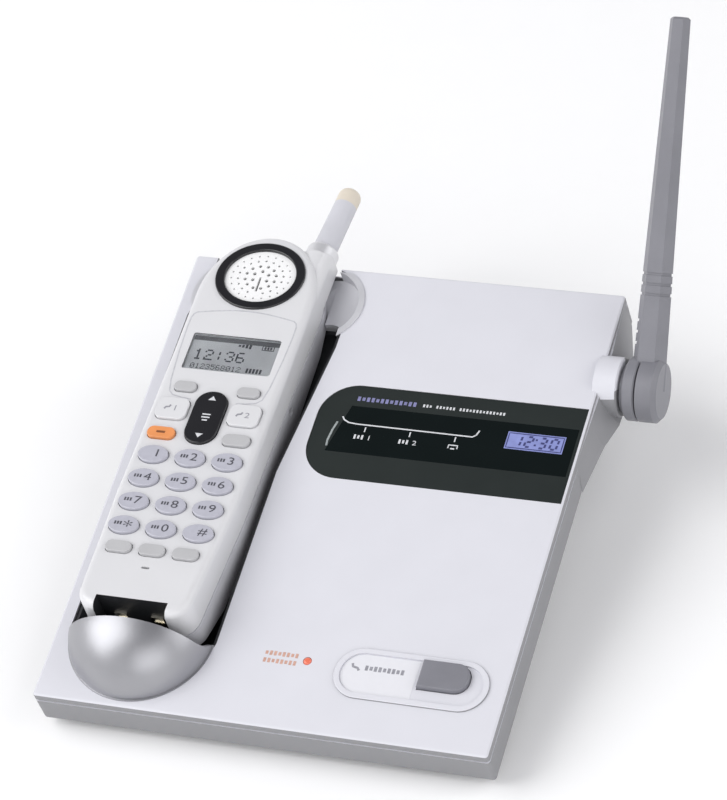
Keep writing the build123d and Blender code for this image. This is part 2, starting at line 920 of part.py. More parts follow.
def make_antenna_mast():
    """Round knuckle and a tapering six-sided mast, upright over the hinge."""
    disc_start = knuckle_gap + knuckle_neck_width
    head_start = disc_start + knuckle_disc_width + knuckle_groove
    head_end = knuckle_gap + knuckle_width
    disc = across(knuckle_radius, disc_start, disc_start + knuckle_disc_width, 0, 0)
    disc = chamfer(disc.edges().filter_by(GeomType.CIRCLE), knuckle_edge)
    head = across(knuckle_radius, head_start, head_end, 0, 0)
    rims = head.edges().filter_by(GeomType.CIRCLE).sort_by(Axis.X)
    head = chamfer(rims[-1], knuckle_chamfer)
    knuckle = disc + head + across(knuckle_neck_radius, knuckle_gap, head_end - knuckle_chamfer, 0, 0)
    root = RegularPolygon(mast_radius(0), 6)
    tip = Pos(0, 0, mast_length) * RegularPolygon(mast_radius(mast_length), 6)
    mast = loft([root, tip])
    mast = chamfer(mast.faces().sort_by(Axis.Z)[-1].edges(), mast_tip_chamfer)
    for height in mast_groove_heights:
        outer = Pos(0, 0, height) * RegularPolygon(mast_root_width, 6)
        inner = Pos(0, 0, height) * RegularPolygon(mast_radius(height) - mast_groove_depth, 6)
        mast -= extrude(outer, amount=mast_groove_width) - extrude(inner, amount=mast_groove_width)
    for height in mast_notch_heights:
        left = -mast_radius(height)
        half = mast_notch_length / 2
        mast -= block(left - 1, left + mast_notch_length, -half, half, height, height + mast_groove_width)
    mast = Pos(mast_centre(), 0, 0) * mast
    bore_end = pivot_length - hub_reach - base_wall + 2 * pivot_clearance
    body = knuckle + mast
    body -= across(pivot_radius + pivot_clearance, 0, bore_end, 0, 0)
    return body - make_antenna_core()


def make_antenna_core():
    """Metal radiator sealed inside the mast."""
    start = knuckle_radius + 1.5
    return upright(mast_core_radius, mast_length - start - 4, mast_centre(), 0, start)


# ---- handset: cases ------------------------------------------------------------------
def stub_location():
    """Root of the handset's stub antenna, splayed a little outwards."""
    return Location((stub_x, stub_root, -stub_depth), (-90, 0, 0)) * Rot(0, stub_splay, 0)


def handset_outer():
    """Handset's outer form with softened edges and the shoulder of its antenna."""
    body = handset_solid()
    face = body.faces().sort_by(Axis.Z)[-1]
    body = fillet(face.edges(), face_edge_radius)
    shoulder = stub_root - stub_shoulder_start
    body += stub_location() * Pos(0, 0, -shoulder / 2) * Cylinder(stub_shoulder_radius, shoulder)
    side = handset_width / 2 - shoulder_inset
    top = face_height(stub_shoulder_start) - shoulder_drop
    depth = stub_depth + stub_shoulder_radius
    filler = block(side / 2, side, stub_shoulder_start - 12, stub_root - 0.5, -depth, top)
    outer_edges = filler.edges().filter_by(Axis.Y).sort_by(Axis.X)[-2:]
    return body + fillet(outer_edges, shoulder_edge_radius)


def notch_block(grow=0.0):
    """Notch between the two horns at the handset's bottom end."""
    half = notch_width / 2 + grow
    return block(-half, half, -1, notch_depth + grow, -2 * handset_thickness, handset_thickness)


def battery_cover_block(grow=0.0):
    """Space of the sliding battery cover in the handset's back."""
    half = cover_width / 2 + grow
    bottom = -handset_thickness
    end = cover_start + cover_length + grow
    return block(-half, half, cover_start - grow, end, bottom - 1, bottom + cover_thickness)


def handset_case(front):
    """Front or back half of the handset's hollow case."""
    body = handset_outer()
    big = 2 * handset_length
    if front:
        body &= block(-big, big, -big, big, -parting_depth, big)
    else:
        body &= block(-big, big, -big, big, -big, -parting_depth)
        edge = -parting_depth - parting_groove_width
        ring = prism(handset_plan(-1), edge, 0) - prism(handset_plan(parting_groove_depth), edge, 0)
        body -= ring
    inner = handset_solid(handset_wall) - notch_block(handset_wall)
    body -= inner
    body -= notch_block()
    return body


def oval(width, height):
    """Outline function of an oval key, which can be grown all round."""
    return lambda grow=0.0: Ellipse(width / 2 + grow, height / 2 + grow)


def tablet(width, height, radius):
    """Outline function of a round-cornered key, which can be grown all round."""
    return lambda grow=0.0: RectangleRounded(width + 2 * grow, height + 2 * grow, radius + grow)


def keys():
    """Every key: name, outline function, X and Y on the face."""
    dial = oval(dial_key_width, dial_key_height)
    menu = tablet(menu_key_width, menu_key_height, menu_key_height * round_end)
    soft = tablet(soft_key_width, soft_key_height, soft_key_height * round_end)
    side = tablet(side_key_width, side_key_height, side_key_height * round_end)
    line = tablet(line_key_width, line_key_height, line_key_radius)
    navigator = tablet(navigator_width, navigator_height, navigator_radius)
    listed = []
    for row, names in enumerate(dial_key_rows):
        for column, name in enumerate(names):
            x = (column - 1) * key_column_pitch
            listed.append((name, dial, x, first_key_row + row * key_row_pitch))
    for column, name in enumerate(("menu_key_left", "menu_key_middle", "menu_key_right")):
        listed.append((name, menu, (column - 1) * menu_key_pitch, menu_key_y))
    listed.append(("soft_key_left", soft, -soft_key_x, soft_key_y))
    listed.append(("soft_key_right", soft, soft_key_x, soft_key_y))
    listed.append(("line_1_key", line, -line_key_x, line_key_y))
    listed.append(("line_2_key", line, line_key_x, line_key_y))
    listed.append(("orange_key", side, -side_key_x, side_key_y))
    listed.append(("function_key", side, side_key_x, side_key_y))
    listed.append(("navigator_key", navigator, 0, navigator_y))
    return listed


def make_key(outline):
    """A key in its own frame: domed cap, stem and retaining flange under the case."""
    flange_top = -handset_wall - key_flange_drop
    cap = prism(outline(), flange_top - key_flange_thickness, key_rise)
    cap = fillet(cap.faces().sort_by(Axis.Z)[-1].edges(), key_dome)
    flange = prism(outline(key_flange), flange_top - key_flange_thickness, flange_top)
    return cap + flange


def ring_outline(shrink_x=0.0, shrink_y=0.0):
    """Oval of the earpiece ring, or an oval inside it."""
    return Ellipse(ring_half_width - shrink_x, ring_half_height - shrink_y)


def make_handset_front_case():
    """Front shell with the openings for keys, display, earpiece and microphone."""
    case = handset_case(True)
    for _, outline, x, y in keys():
        case -= on_face(x, y) * prism(outline(key_clearance), -2 * handset_wall, 2)
    lcd = RectangleRounded(lcd_width, lcd_height, 1.0)
    case -= on_face(0, lcd_y) * prism(lcd, -2 * handset_wall, 2)
    case -= on_face(0, ring_y) * prism(ring_outline(), -2 * handset_wall, 2)
    slot = SlotOverall(mic_slot_length, mic_slot_width)
    case -= on_face(0, mic_y) * prism(slot, -2 * handset_wall, 2)
    for x, y in handset_screw_places:
        post_length = parting_depth + face_height(y) - handset_wall / 2
        case += upright(handset_post_radius, post_length, x, y, -parting_depth)
        case -= upright(handset_screw_radius, parting_depth - handset_screw_tip, x, y, -parting_depth)
    return case - stub_location() * Cylinder(sleeve_root_radius, 2 * stub_socket_depth)


def make_handset_back_case():
    """Back shell with the battery bay, jack hole and screw tubes."""
    case = handset_case(False)
    half = cover_width / 2 + battery_frame
    floor = -handset_thickness + handset_wall
    frame_front = cover_start - cover_travel
    frame_rear = cover_start + cover_length + battery_frame
    case += block(-half, half, frame_front, frame_rear, floor, floor + battery_frame)
    for x, y in handset_screw_places:
        tube = upright(handset_tube_radius, handset_thickness - parting_depth, x, y, -handset_thickness)
        case += tube & handset_solid()
        bore = handset_screw_radius + assembly_gap
        case -= upright(bore, handset_thickness, x, y, -handset_thickness - 1)
        recess = handset_screw_head_radius + screw_clearance
        case -= upright(recess, handset_thickness, x, y, -handset_screw_seat - handset_thickness)
    case -= battery_cover_block(cover_clearance)
    track = block(
        -cover_width / 2 - cover_clearance,
        cover_width / 2 + cover_clearance,
        cover_start - cover_travel - cover_clearance,
        cover_start + cover_length,
        -2 * handset_thickness,
        -handset_thickness + cover_thickness + cover_clearance,
    )
    case -= track
    bay = block(
        -battery_width / 2 - 1,
        battery_width / 2 + 1,
        battery_start - 1,
        battery_start + battery_length + 1,
        -handset_thickness,
        -handset_thickness + 2 * handset_wall + cover_thickness,
    )
    case -= bay
    case -= across(jack_radius + 0.6, handset_width / 2 - 4, handset_width / 2 + 2, jack_y, -jack_depth)
    case -= stub_location() * Cylinder(sleeve_root_radius, 2 * stub_socket_depth)
    return case


# ---- handset: earpiece and display ---------------------------------------------------
def make_earpiece_ring():
    """Dark oval ring round the earpiece, standing a little proud of the face."""
    ring = prism(ring_outline(), -ring_depth, ring_rise)
    ring -= prism(ring_outline(ring_band_x, ring_band_y), -ring_depth - 1, ring_rise + 1)
    return fillet(ring.faces().sort_by(Axis.Z)[-1].edges(), ring_rise * 0.6)


def make_earpiece_grille():
    """Oval plate inside the ring with rings of sound holes and a short slot."""
    top = grille_drop
    plate = prism(ring_outline(ring_band_x, ring_band_y), -top - grille_thickness, -top)
    holes = Pos(0, -grille_slot_length / 2) * Rectangle(grille_slot_width, grille_slot_length)
    squash = (ring_half_height - ring_band_y) / (ring_half_width - ring_band_x)
    for radius, count, hole_radius in grille_hole_rings:
        for i in range(count):
            turn = 2 * pi * (i + 0.5) / count
            if radius * abs(cos(turn)) < grille_slot_width + hole_radius and sin(turn) < 0 and radius < 10:
                continue
            holes += Pos(radius * cos(turn), squash * radius * sin(turn)) * Circle(hole_radius)
    return plate - prism(holes, -top - grille_thickness - 1, 1)


def make_earpiece_speaker():
    """Round loudspeaker behind the grille, with its stepped magnet."""
    top = -handset_wall - speaker_gap
    frame = upright(speaker_radius, speaker_thickness * 0.5, 0, 0, top - speaker_thickness * 0.5)
    return frame + upright(speaker_radius * 0.6, speaker_thickness, 0, 0, top - speaker_thickness)


def make_lcd_window():
    """Clear window flush with the face."""
    clear = assembly_gap / 2
    outline = RectangleRounded(lcd_width - 2 * clear, lcd_height - 2 * clear, 1.0)
    return prism(outline, -lcd_drop - lcd_window_thickness, -lcd_drop)


def make_lcd_module():
    """Liquid-crystal panel on its frame, under the window."""
    top = -lcd_drop - lcd_window_thickness - lcd_module_gap
    frame = RectangleRounded(lcd_width + 2, lcd_height + 3, 0.5)
    glass = RectangleRounded(lcd_width - 0.6, lcd_height - 0.6, 0.5)
    base = top - lcd_module_thickness
    return prism(frame, base, -handset_wall - lcd_frame_gap) + prism(glass, base, top)


# ---- handset: inside -----------------------------------------------------------------
def make_handset_board():
    """Circuit board behind the keypad, cut round the screws."""
    half = handset_board_width / 2
    end = handset_board_start + handset_board_length
    bottom = -handset_board_depth - handset_board_thickness
    board = block(-half, half, handset_board_start, end, bottom, -handset_board_depth)
    corners = board.edges().filter_by(Axis.Z)
    board = fillet(corners, 6)
    for x, y in handset_screw_places:
        board -= upright(handset_post_radius + assembly_gap, 4 * handset_board_thickness, x, y, bottom - 1)
    board += block(-12, 12, 118, 150, bottom - 3, bottom)
    return board


def make_keypad_mat():
    """Rubber mat under all the keys, with a low dome below each one."""
    start = menu_key_y - menu_key_height / 2 - 2
    end = soft_key_y + soft_key_height
    half = line_key_x + line_key_width / 2 + 0.4
    flange_bottom = -handset_wall - key_flange_drop - key_flange_thickness
    lowest = flange_bottom - key_travel - mat_gap
    mat = block(-half, half, start, end, lowest - mat_thickness, lowest)
    mat = fillet(mat.edges().filter_by(Axis.Z), 4)
    for x, y in handset_screw_places:
        hole = handset_post_radius + assembly_gap
        mat -= upright(hole, 4 * mat_thickness, x, y, lowest - 3 * mat_thickness)
    return mat


def make_microphone():
    """Round microphone capsule behind its slot."""
    top = face_height(mic_y) - handset_wall - 0.4
    return upright(mic_radius, mic_thickness, 0, mic_y, top - mic_thickness)


def make_handset_charge_contacts():
    """Two metal plates on the notch's inner wall."""
    pieces = []
    depth = handset_height - contact_z
    for side in (-1, 1):
        x = side * contact_spacing / 2
        half = contact_width / 2
        tall = contact_height / 2
        back = notch_depth - contact_thickness
        plate = block(x - half, x + half, back, notch_depth, -depth - tall, -depth + tall)
        pieces.append(plate)
    return Compound(pieces)


def make_headset_jack():
    """Small round socket behind its hole in the handset's right side."""
    outer_face = handset_width / 2 - jack_recess
    half = jack_size / 2
    body = block(
        outer_face - jack_length,
        outer_face,
        jack_y - half,
        jack_y + half,
        -jack_depth - half,
        -jack_depth + half,
    )
    return body - across(jack_radius, outer_face - jack_bore_depth, outer_face + 1, jack_y, -jack_depth)


def make_battery_pack():
    """Three round cells side by side in one wrapped pack."""
    pitch = 2 * battery_cell_radius + 0.1
    middle = -handset_thickness + cover_thickness + battery_cell_radius + battery_gap
    pieces = []
    for i in (-1, 0, 1):
        cell = Location((i * pitch, battery_start + battery_length / 2, middle), (90, 0, 0))
        pieces.append(cell * Cylinder(battery_cell_radius, battery_length))
    half = pitch
    web = block(
        -half, half, battery_start + 2, battery_start + battery_length - 2,
        middle - battery_cell_radius * 0.4, middle + battery_cell_radius * 0.4,
    )
    return web + pieces


def make_handset_screws():
    """Four screws that hold the two case halves together."""
    pieces = []
    for x, y in handset_screw_places:
        low = -handset_screw_seat - screw_head_height
        head = upright(handset_screw_head_radius, screw_head_height, x, y, low)
        length = handset_screw_seat - handset_screw_tip
        pieces.append(head + upright(handset_screw_radius, length, x, y, -handset_screw_seat))
    return Compound(pieces)


def make_battery_cover():
    """Cover that slides along the handset's back towards its bottom end."""
    lid = battery_cover_block()
    bottom = -handset_thickness
    lid -= block(-cover_width, cover_width, 0, handset_length, bottom - 2, bottom)
    for i in range(cover_grip_ridges):
        y = cover_start + 5 + 2.4 * i
        lid -= across(0.5, -8, 8, y, bottom)
    return lid


# ---- handset: stub antenna -----------------------------------------------------------
def make_handset_antenna():
    """Flexible sleeve of the stub antenna; its lower end sits in the case."""
    lower = upright(sleeve_root_radius - 0.3, stub_socket_depth - 1, 0, 0, -stub_socket_depth + 1)
    sleeve = Cone(sleeve_root_radius - 0.3, sleeve_tip_radius, sleeve_length)
    return lower + Pos(0, 0, sleeve_length / 2) * sleeve


def make_antenna_collar():
    """Silver collar where the stub antenna leaves the case."""
    ring = upright(collar_radius, collar_length, 0, 0, 2 * assembly_gap)
    ring = fillet(ring.faces().sort_by(Axis.Z)[-1].edges(), 1.2)
    return ring - upright(sleeve_root_radius - 0.2, 2 * collar_length, 0, 0, -1)


def make_antenna_tip():
    """Rounded pale cap on the end of the stub antenna."""
    cap = upright(sleeve_tip_radius, tip_length, 0, 0, sleeve_length)
    return fillet(cap.faces().sort_by(Axis.Z)[-1].edges(), sleeve_tip_radius * 0.7)


# ---- assembly ------------------------------------------------------------------------
def hub():
    """Hinge axis of the base antenna in the table frame."""
    return deck * hub_location()


def on_antenna():
    """Frame of the mast: upright in it, leaning back from the vertical by mast_lean."""
    return hub() * Rot(-(mast_lean + deck_slope), 0, 0)


def build_nodes():
    """Every piece in the table frame, by node name."""
    nodes = {
        "base_top_cover": deck * make_top_cover(),
        "base_bottom_cover": deck * make_bottom_cover(),
        "cradle_liner": deck * make_cradle_liner(),
        "cradle_rest": deck * make_cradle_rest(),
        "cradle_cup": deck * make_cradle_cup(),
        "base_charge_contacts": deck * make_base_charge_contacts(),
        "display_bezel": deck * make_display_bezel(),
        "display_lens": deck * make_display_lens(),
        "display_badge": deck * make_display_badge(),
        "line_leds": deck * make_line_leds(),
        "charge_led": deck * make_charge_led(),
        "locator_button": deck * make_locator_button(),
        "base_main_board": deck * make_base_main_board(),
        "base_screws": deck * make_base_screws(),
        "line_sockets": make_line_sockets(),
        "dc_jack": make_dc_jack(),
        "rubber_feet": make_rubber_feet(),
        "antenna_pivot": hub() * make_antenna_pivot(),
        "antenna_mast": on_antenna() * make_antenna_mast(),
        "antenna_core": on_antenna() * make_antenna_core(),
        "handset_front_case": cradle * make_handset_front_case(),
        "handset_back_case": cradle * make_handset_back_case(),
        "earpiece_ring": cradle * on_face(0, ring_y) * make_earpiece_ring(),
        "earpiece_grille": cradle * on_face(0, ring_y) * make_earpiece_grille(),
        "earpiece_speaker": cradle * on_face(0, ring_y) * make_earpiece_speaker(),
        "lcd_window": cradle * on_face(0, lcd_y) * make_lcd_window(),
        "lcd_module": cradle * on_face(0, lcd_y) * make_lcd_module(),
        "handset_board": cradle * make_handset_board(),
        "keypad_mat": cradle * make_keypad_mat(),
        "microphone": cradle * make_microphone(),
        "handset_charge_contacts": cradle * make_handset_charge_contacts(),
        "headset_jack": cradle * make_headset_jack(),
        "battery_pack": cradle * make_battery_pack(),
        "handset_screws": cradle * make_handset_screws(),
        "battery_cover": cradle * make_battery_cover(),
        "handset_antenna": cradle * stub_location() * make_handset_antenna(),
        "antenna_collar": cradle * stub_location() * make_antenna_collar(),
        "antenna_tip": cradle * stub_location() * make_antenna_tip(),
    }
    for name, outline, x, y in keys():
        nodes[name] = cradle * on_face(x, y) * make_key(outline)
    return nodes


def origin_of(nodes):
    """Centre of the whole object's footprint on the table."""
    boxes = [piece.bounding_box() for piece in nodes.values()]
    x = (min(b.min.X for b in boxes) + max(b.max.X for b in boxes)) / 2
    y = (min(b.min.Y for b in boxes) + max(b.max.Y for b in boxes)) / 2
    return Vector(x, y, 0)


def main():
    """Write one STEP file for each node."""
    os.makedirs("parts", exist_ok=True)
    nodes = build_nodes()
    origin = origin_of(nodes)
    for name, piece in nodes.items():
        piece = Pos(-origin.X, -origin.Y, -origin.Z) * piece
        export_step(piece, f"parts/{name}.step")
    print("origin", origin, "nodes", len(nodes))


if __name__ == "__main__":
    main()
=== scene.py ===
import json
import math

import bmesh
import bpy
from mathutils import Matrix, Vector
from mathutils.bvhtree import BVHTree


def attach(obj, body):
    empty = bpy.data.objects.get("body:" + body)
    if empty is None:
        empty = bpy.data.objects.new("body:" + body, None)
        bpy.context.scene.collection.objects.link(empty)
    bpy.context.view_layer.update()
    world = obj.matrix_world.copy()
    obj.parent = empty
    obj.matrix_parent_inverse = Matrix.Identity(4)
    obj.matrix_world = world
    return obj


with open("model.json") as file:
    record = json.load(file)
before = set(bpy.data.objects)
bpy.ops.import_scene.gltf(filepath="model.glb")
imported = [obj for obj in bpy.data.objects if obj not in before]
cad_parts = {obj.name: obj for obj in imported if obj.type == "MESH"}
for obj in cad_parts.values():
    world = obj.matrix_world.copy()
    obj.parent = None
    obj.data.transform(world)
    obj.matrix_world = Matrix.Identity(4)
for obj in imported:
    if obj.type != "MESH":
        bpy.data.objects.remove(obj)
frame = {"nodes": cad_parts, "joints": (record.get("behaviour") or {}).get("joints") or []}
nodes = frame["nodes"]
joints = {j["name"]: j for j in frame["joints"]}
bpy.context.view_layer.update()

MM = 0.001


# ---- materials -------------------------------------------------------------------------
def material(name, colour, rough=0.5, metal=0.0, coat=0.0, coat_rough=0.1, mottle=0.06,
             mottle_scale=60, grain=0.1, grain_scale=1500, rough_vary=0.06, specular=0.5):
    """Moulded or painted surface: clouded colour, uneven gloss and a fine grain."""
    made = bpy.data.materials.new(name)
    made.use_nodes = True
    tree = made.node_tree
    shader = tree.nodes["Principled BSDF"]
    shader.inputs["Metallic"].default_value = metal
    shader.inputs["Coat Weight"].default_value = coat
    shader.inputs["Coat Roughness"].default_value = coat_rough
    shader.inputs["Specular IOR Level"].default_value = specular
    place = tree.nodes.new("ShaderNodeTexCoord")
    cloud = tree.nodes.new("ShaderNodeTexNoise")
    cloud.inputs["Scale"].default_value = mottle_scale
    cloud.inputs["Detail"].default_value = 4
    tree.links.new(place.outputs["Object"], cloud.inputs["Vector"])
    ramp = tree.nodes.new("ShaderNodeValToRGB")
    ramp.color_ramp.elements[0].position = 0.3
    ramp.color_ramp.elements[1].position = 0.7
    ramp.color_ramp.elements[0].color = [c * (1 - mottle) for c in colour[:3]] + [1]
    ramp.color_ramp.elements[1].color = [min(1, c * (1 + mottle)) for c in colour[:3]] + [1]
    tree.links.new(cloud.outputs["Fac"], ramp.inputs["Fac"])
    tree.links.new(ramp.outputs["Color"], shader.inputs["Base Color"])
    uneven = tree.nodes.new("ShaderNodeMapRange")
    uneven.inputs["To Min"].default_value = max(0.02, rough - rough_vary)
    uneven.inputs["To Max"].default_value = min(1, rough + rough_vary)
    tree.links.new(cloud.outputs["Fac"], uneven.inputs["Value"])
    tree.links.new(uneven.outputs["Result"], shader.inputs["Roughness"])
    if grain:
        fine = tree.nodes.new("ShaderNodeTexNoise")
        fine.inputs["Scale"].default_value = grain_scale
        fine.inputs["Detail"].default_value = 2
        tree.links.new(place.outputs["Object"], fine.inputs["Vector"])
        bump = tree.nodes.new("ShaderNodeBump")
        bump.inputs["Strength"].default_value = grain
        bump.inputs["Distance"].default_value = 0.0001
        tree.links.new(fine.outputs["Fac"], bump.inputs["Height"])
        tree.links.new(bump.outputs["Normal"], shader.inputs["Normal"])
    return made


def glowing(name, colour, strength, **looks):
    """A lit lens: the moulded look with its own light."""
    made = material(name, colour, **looks)
    shader = made.node_tree.nodes["Principled BSDF"]
    shader.inputs["Emission Color"].default_value = list(colour[:3]) + [1]
    shader.inputs["Emission Strength"].default_value = strength
    return made


def clear(name, colour, rough=0.05):
    """Clear window plastic."""
    made = material(name, colour, rough=rough, rough_vary=0.03, grain=0.02)
    shader = made.node_tree.nodes["Principled BSDF"]
    shader.inputs["Transmission Weight"].default_value = 1.0
    shader.inputs["IOR"].default_value = 1.45
    return made


looks = {
    "pale": material("pale_plastic", (0.65, 0.65, 0.695), 0.45, mottle=0.012, rough_vary=0.03,
                     grain=0.12, grain_scale=2600),
    # Painted shade: this darker grey stands for the shade on the downward-facing lower edge of the base,
    # which is the same pale plastic; it colours the bottom cover and the band below the top cover's groove.
    "dark": material("dark_grey_plastic", (0.25, 0.25, 0.262), 0.5, mottle=0.03, grain=0.2,
                     grain_scale=2200),
    "charcoal": material("charcoal_plastic", (0.022, 0.023, 0.026), 0.45, grain=0.3, grain_scale=2200),
    "silver": material("silver_paint", (0.36, 0.36, 0.38), 0.38, metal=0.85, coat=0.05, coat_rough=0.3,
                       mottle=0.03, grain=0.1, grain_scale=6000),
    "rest_silver": material("rest_silver_paint", (0.66, 0.66, 0.69), 0.38, metal=0.4, coat=0.2,
                            mottle=0.03, grain=0.1, grain_scale=6000),
    "contact": material("contact_metal", (0.80, 0.76, 0.66), 0.22, metal=1.0, grain=0.1),
    "black": material("black_gloss", (0.012, 0.012, 0.014), 0.2, coat=0.35, coat_rough=0.08, grain=0.03,
                      specular=0.35),
    "bezel": material("bezel_black", (0.012, 0.017, 0.016), 0.45, grain=0.08, specular=0.3),
    "lens": material("smoked_lens", (0.003, 0.006, 0.006), 0.16, grain=0.02, specular=0.25),
    "badge": glowing("badge_plastic", (0.22, 0.25, 0.52), 0.08, rough=0.3, mottle=0.1, mottle_scale=300),
    "line_led": material("led_plastic", (0.05, 0.012, 0.01), 0.15, coat=0.5),
    "charge_led": glowing("lit_led_plastic", (0.62, 0.14, 0.08), 0.25, rough=0.2, coat=0.5),
    "button": material("button_plastic", (0.20, 0.20, 0.225), 0.4, grain=0.2, grain_scale=2600),
    "board": material("circuit_board", (0.03, 0.16, 0.06), 0.4, mottle=0.25, mottle_scale=400),
    "steel": material("screw_steel", (0.55, 0.55, 0.56), 0.3, metal=1.0),
    "socket": material("socket_plastic", (0.025, 0.025, 0.027), 0.45, grain=0.3),
    "rubber": material("foot_rubber", (0.03, 0.03, 0.03), 0.8, grain=0.5, grain_scale=1200),
    "mast": material("mast_plastic", (0.20, 0.20, 0.222), 0.42, grain=0.15, grain_scale=2600),
    "wire": material("antenna_wire", (0.7, 0.5, 0.25), 0.3, metal=1.0),
    "white": material("white_plastic", (0.66, 0.66, 0.675), 0.32, coat=0.25, coat_rough=0.15,
                      mottle=0.01, grain=0.06, grain_scale=2600),
    "back": material("back_plastic", (0.55, 0.55, 0.585), 0.45, grain=0.2, grain_scale=2200),
    "grille": material("grille_plastic", (0.84, 0.84, 0.84), 0.35, mottle=0.02),
    "window": clear("lcd_clear", (0.92, 0.94, 0.95)),
    "lcd": material("lcd_panel", (0.66, 0.66, 0.68), 0.3, mottle=0.08, mottle_scale=90),
    "mat": material("mat_rubber", (0.5, 0.5, 0.52), 0.7),
    "dial": material("dial_key_plastic", (0.45, 0.45, 0.51), 0.25, coat=0.4, mottle=0.04, mottle_scale=500),
    "grey_key": material("grey_key_plastic", (0.46, 0.46, 0.47), 0.35, mottle=0.04),
    "orange": material("orange_key_plastic", (0.72, 0.27, 0.09), 0.35, mottle=0.1),
    "battery": material("battery_wrap", (0.06, 0.16, 0.36), 0.3),
    "stub": material("stub_rubber", (0.56, 0.56, 0.60), 0.5, grain=0.2),
    "collar": material("collar_silver", (0.72, 0.72, 0.74), 0.3, metal=0.5),
    "tip": material("tip_plastic", (0.64, 0.58, 0.49), 0.4, mottle=0.08),
    "ink": material("dark_print", (0.07, 0.07, 0.085), 0.5, mottle=0.2, mottle_scale=900),
    "grey_ink": material("grey_print", (0.28, 0.28, 0.31), 0.5, mottle=0.15, mottle_scale=900),
    "pale_ink": material("pale_print", (0.62, 0.63, 0.65), 0.5, mottle=0.1, mottle_scale=900),
    "lavender_ink": material("lavender_print", (0.20, 0.20, 0.38), 0.5, mottle=0.15, mottle_scale=900),
    # Painted highlight colour for the glint on the lens edge.
    "painted_highlight": material("painted_glint_highlight", (0.30, 0.33, 0.33), 0.4, mottle=0.2, mottle_scale=900),
    "badge_ink": material("badge_print", (0.045, 0.05, 0.16), 0.4, mottle=0.15, mottle_scale=900),
    "orange_ink": material("orange_print", (0.56, 0.33, 0.26), 0.5, mottle=0.15, mottle_scale=900),
    "brown_ink": material("brown_print", (0.22, 0.07, 0.02), 0.5, mottle=0.15, mottle_scale=900),
    "panel_ink": material("panel_print", (0.71, 0.71, 0.745), 0.4, mottle=0.01, mottle_scale=400),
    # Painted shade for the handset's bottom notch.
    "painted_notch_shade": material("notch_shade", (0.05, 0.05, 0.055), 0.6, mottle=0.3, mottle_scale=700),
    "band_ink": material("lcd_band_print", (0.16, 0.16, 0.17), 0.4, mottle=0.1, mottle_scale=400),
    "line_ink": material("line_print", (0.50, 0.50, 0.53), 0.5, mottle=0.1, mottle_scale=900),
}

node_looks = {
    "base_top_cover": "pale", "base_bottom_cover": "dark", "cradle_liner": "charcoal",
    "cradle_rest": "rest_silver", "cradle_cup": "silver", "base_charge_contacts": "contact",
    "handset_charge_contacts": "contact", "display_bezel": "bezel", "display_lens": "lens",
    "display_badge": "badge", "line_leds": "line_led", "charge_led": "charge_led",
    "base_main_board": "board", "handset_board": "board", "base_screws": "steel",
    "handset_screws": "steel", "antenna_pivot": "steel", "line_sockets": "socket",
    "dc_jack": "socket", "headset_jack": "socket", "microphone": "socket",
    "earpiece_speaker": "socket", "rubber_feet": "rubber", "antenna_mast": "mast",
    "antenna_core": "wire", "locator_button": "button", "handset_front_case": "white",
    "handset_back_case": "back", "battery_cover": "back", "earpiece_ring": "black",
    "earpiece_grille": "grille", "lcd_window": "window", "lcd_module": "lcd",
    "keypad_mat": "mat", "battery_pack": "battery", "handset_antenna": "stub",
    "antenna_collar": "collar", "antenna_tip": "tip", "line_1_key": "white", "line_2_key": "white",
    "navigator_key": "black", "orange_key": "orange",
}
for name, node in nodes.items():
    if name in node_looks:
        look = node_looks[name]
    elif name.startswith("key_"):
        look = "dial"
    else:
        look = "grey_key"
    node.data.materials.clear()
    node.data.materials.append(looks[look])


def repaint(name, look, axis, limit, sideways):
    """Second colour for the faces of a node below a height along an axis and turned sideways to it, used
    here for painted shade.
    """
    mesh = nodes[name].data
    mesh.materials.append(looks[look])
    top = max(v.co.dot(axis) for v in mesh.vertices)
    for face in mesh.polygons:
        low = max(mesh.vertices[i].co.dot(axis) for i in face.vertices) < top - limit
        if low and abs(face.normal.dot(axis)) < sideways:
            face.material_index = len(mesh.materials) - 1



# ---- camera ----------------------------------------------------------------------------
camera_azimuth = math.radians(26.913)
camera_elevation = math.radians(41.314)
camera_roll = math.radians(-12.451)
camera_distance = 1.39832
camera_target = Vector((0.00508, -0.02205, 0.08394))
camera_lens = 168.95
back = Vector((
    math.sin(camera_azimuth) * math.cos(camera_elevation),
    -math.cos(camera_azimuth) * math.cos(camera_elevation),
    math.sin(camera_elevation),
))
right = Vector((0, 0, 1)).cross(back).normalized()
up = back.cross(right)
rolled_right = math.cos(camera_roll) * right + math.sin(camera_roll) * up
rolled_up = -math.sin(camera_roll) * right + math.cos(camera_roll) * up
camera_data = bpy.data.cameras.new("camera")
camera_data.lens = camera_lens
camera_data.sensor_width = 36.0
camera_data.clip_start = 0.05
camera_data.clip_end = 50.0
camera = bpy.data.objects.new("camera", camera_data)
bpy.context.scene.collection.objects.link(camera)
place = Matrix((rolled_right, rolled_up, back)).transposed().to_4x4()
place.translation = camera_target + back * camera_distance
camera.matrix_world = place
bpy.context.scene.camera = camera

# ---- printing --------------------------------------------------------------------------
PRINT_RISE = 0.05 * MM
PRINT_SINK = 0.02 * MM
STEP = 1.5
CAST_FROM = 30 * MM
CAST_REACH = 120 * MM


def plate(node, axis_joint, turn_y=False):
    """Frame on a part's face: origin at its low middle, X to the right, Z out of the face."""
    axis = Vector(joints[axis_joint]["axis"]).normalized()
    if turn_y:
        along = axis if axis.y > 0 else -axis
        out = Vector((1, 0, 0)).cross(along)
    else:
        out = axis if axis.z > 0 else -axis
        along = out.cross(Vector((1, 0, 0)))
    points = [v.co for v in nodes[node].data.vertices]
    low_y = min(p.dot(along) for p in points)
    top = max(p.dot(out) for p in points)
    low_x = min(p.x for p in points)
    high_x = max(p.x for p in points)
    origin = along * low_y + out * top
    return origin, along, out, low_x, high_x


trees = {}


